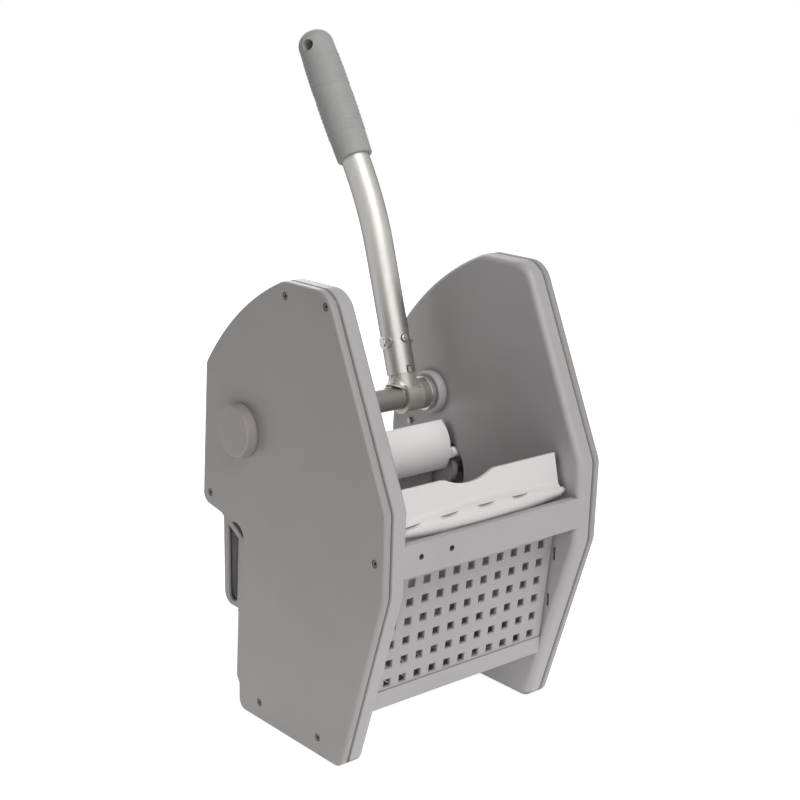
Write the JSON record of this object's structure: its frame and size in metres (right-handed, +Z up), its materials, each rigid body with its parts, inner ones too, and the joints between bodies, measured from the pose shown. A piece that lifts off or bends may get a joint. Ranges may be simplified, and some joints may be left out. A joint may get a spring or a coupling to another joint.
{
  "type": "mop wringer",
  "caption": "Grey plastic down-press mop wringer with hollow side cheeks, a square-hole sieve front, white press plates and a bent lever handle on a cross shaft.",
  "frame": {"origin": "on the floor, under the centre of the whole object box at rest", "axes": "+X across to the handle side, +Y to the back where the bucket rim sits, +Z up"},
  "size_m": [0.313, 0.4133, 0.7051],
  "materials": {
    "body_grey": "fine moulded texture",
    "cover_grey": "fine moulded texture",
    "sieve_grey": "satin moulding",
    "dark_screw": "black coated",
    "shaft_steel": "dull turned",
    "bush_plastic": "satin moulding",
    "bright_steel": "turned",
    "link_steel": "plain sheet",
    "arm_grey": "satin moulding",
    "white_plastic": "satin moulding",
    "cast_grey": "raw casting",
    "satin_tube": "satin drawn tube",
    "grip_grey": "soft matt moulding"
  },
  "bodies": {
    "frame": {"body_frame": "body_grey", "stop_pins": "arm_grey", "wall_pins": "arm_grey", "cover_left": "cover_grey", "cover_right": "cover_grey", "cover_screws_left": "dark_screw", "cover_screws_right": "dark_screw", "sieve": "sieve_grey", "drain_floor": "sieve_grey", "bush_left": "bush_plastic", "bush_right": "bush_plastic", "pivot_pins": "link_steel"},
    "handle": {"cross_shaft": "shaft_steel", "thrust_rings": "bright_steel", "spacer": "shaft_steel", "crank_left": "link_steel", "crank_right": "link_steel", "cross_pins": "link_steel", "crank_clips": "link_steel", "handle_tee": "cast_grey", "tee_screw": "bright_steel", "handle_tube": "satin_tube", "grip": "grip_grey", "handle_bolt": "bright_steel", "handle_nut": "bright_steel", "bolt_saddle": "bright_steel", "tube_button": "bright_steel"},
    "links": {"link_left": "link_steel", "link_right": "link_steel"},
    "press": {"rear_press_plate": "white_plastic", "press_arm_left": "arm_grey", "press_arm_right": "arm_grey", "arm_clips": "link_steel"},
    "front_plate": {"front_press_plate": "white_plastic"}
  },
  "joints": [
    {"name": "handle_swing", "type": "hinge", "parent": "frame", "child": "handle", "pos_m": [0, 0.02323, 0.3146], "axis": [1, 0, 0], "range_deg": [0, 95]},
    {"name": "link_turn", "type": "hinge", "parent": "handle", "child": "links", "pos_m": [0, 0.00675, 0.34203], "axis": [1, 0, 0], "range_deg": [-95, 0]},
    {"name": "press_swing", "type": "hinge", "parent": "frame", "child": "press", "pos_m": [0, 0.00613, 0.2302], "axis": [1, 0, 0], "range_deg": [0, 95]},
    {"name": "front_plate_tilt", "type": "hinge", "parent": "frame", "child": "front_plate", "pos_m": [0, -0.18277, 0.252], "axis": [1, 0, 0], "range_deg": [0, 105]}
  ],
  "couplings": [
    {"joint": "link_turn", "follows": "handle_swing", "ratio": -1},
    {"joint": "press_swing", "follows": "handle_swing", "ratio": 1}
  ]
}
